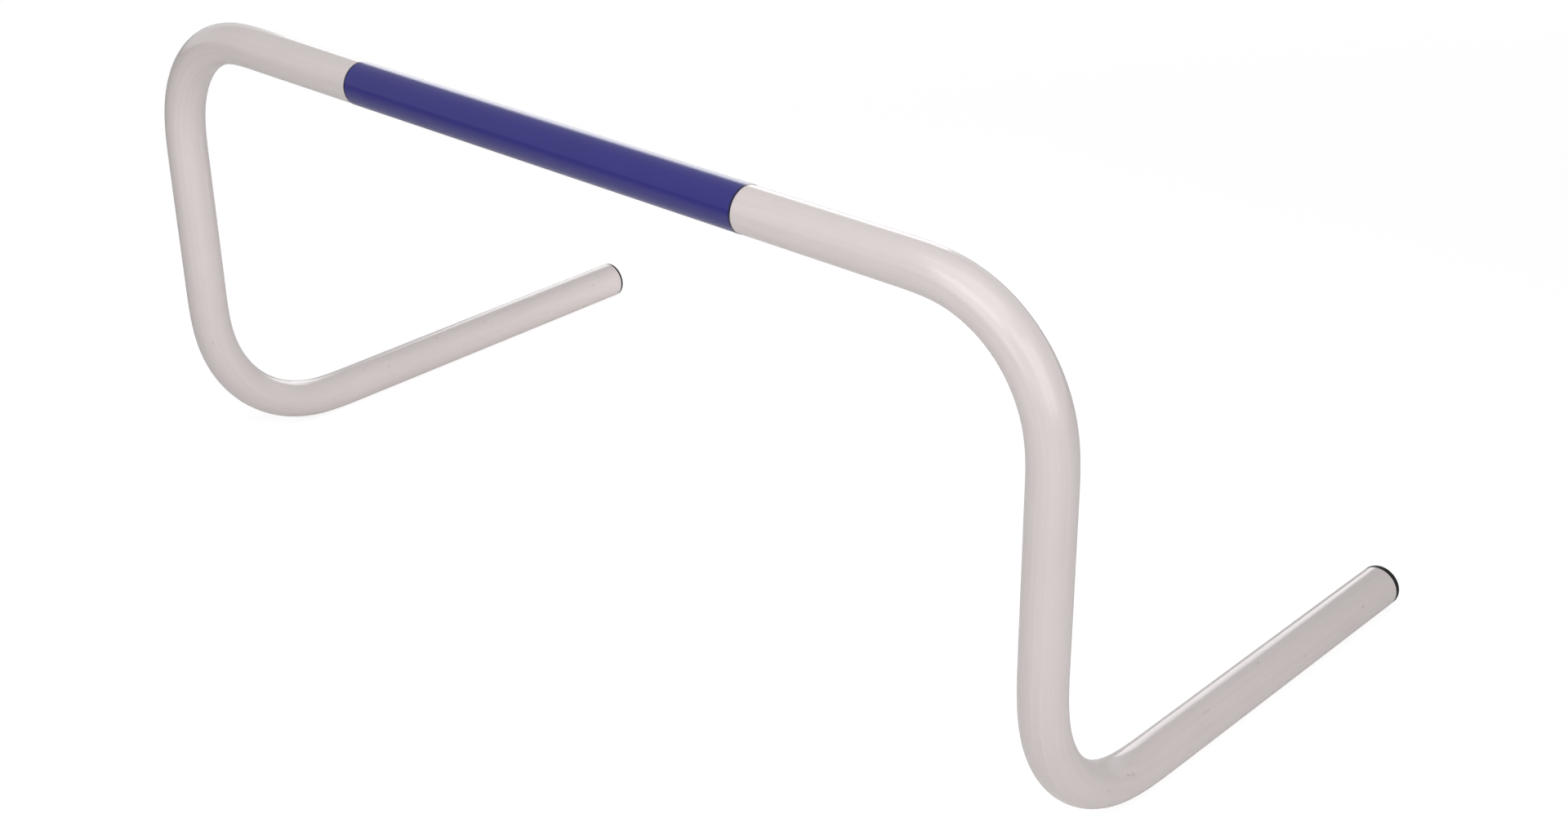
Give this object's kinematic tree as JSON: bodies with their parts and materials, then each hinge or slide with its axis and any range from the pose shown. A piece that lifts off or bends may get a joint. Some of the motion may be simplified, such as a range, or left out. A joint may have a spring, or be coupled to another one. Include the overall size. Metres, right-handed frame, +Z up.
{
  "type": "track training hurdle",
  "caption": "Low one-piece tube training hurdle with a straight crossbar, bent legs and feet, a wrapped colour band, end plugs and weighted feet.",
  "frame": {"origin": "on the ground, at the middle of the hurdle's outline", "axes": "+X along the crossbar from the left leg to the right leg, +Y from the crossbar towards the ends of the feet, +Z up"},
  "size_m": [0.7, 0.371, 0.31],
  "materials": {
    "white_tube": "satin",
    "blue_film": "satin",
    "black_plug": "matte",
    "steel_bar": "satin"
  },
  "bodies": {
    "root": {"frame_tube": "white_tube", "crossbar_band": "blue_film", "end_plug_left": "black_plug", "end_plug_right": "black_plug", "foot_weight_left": "steel_bar", "foot_weight_right": "steel_bar"}
  },
  "joints": []
}
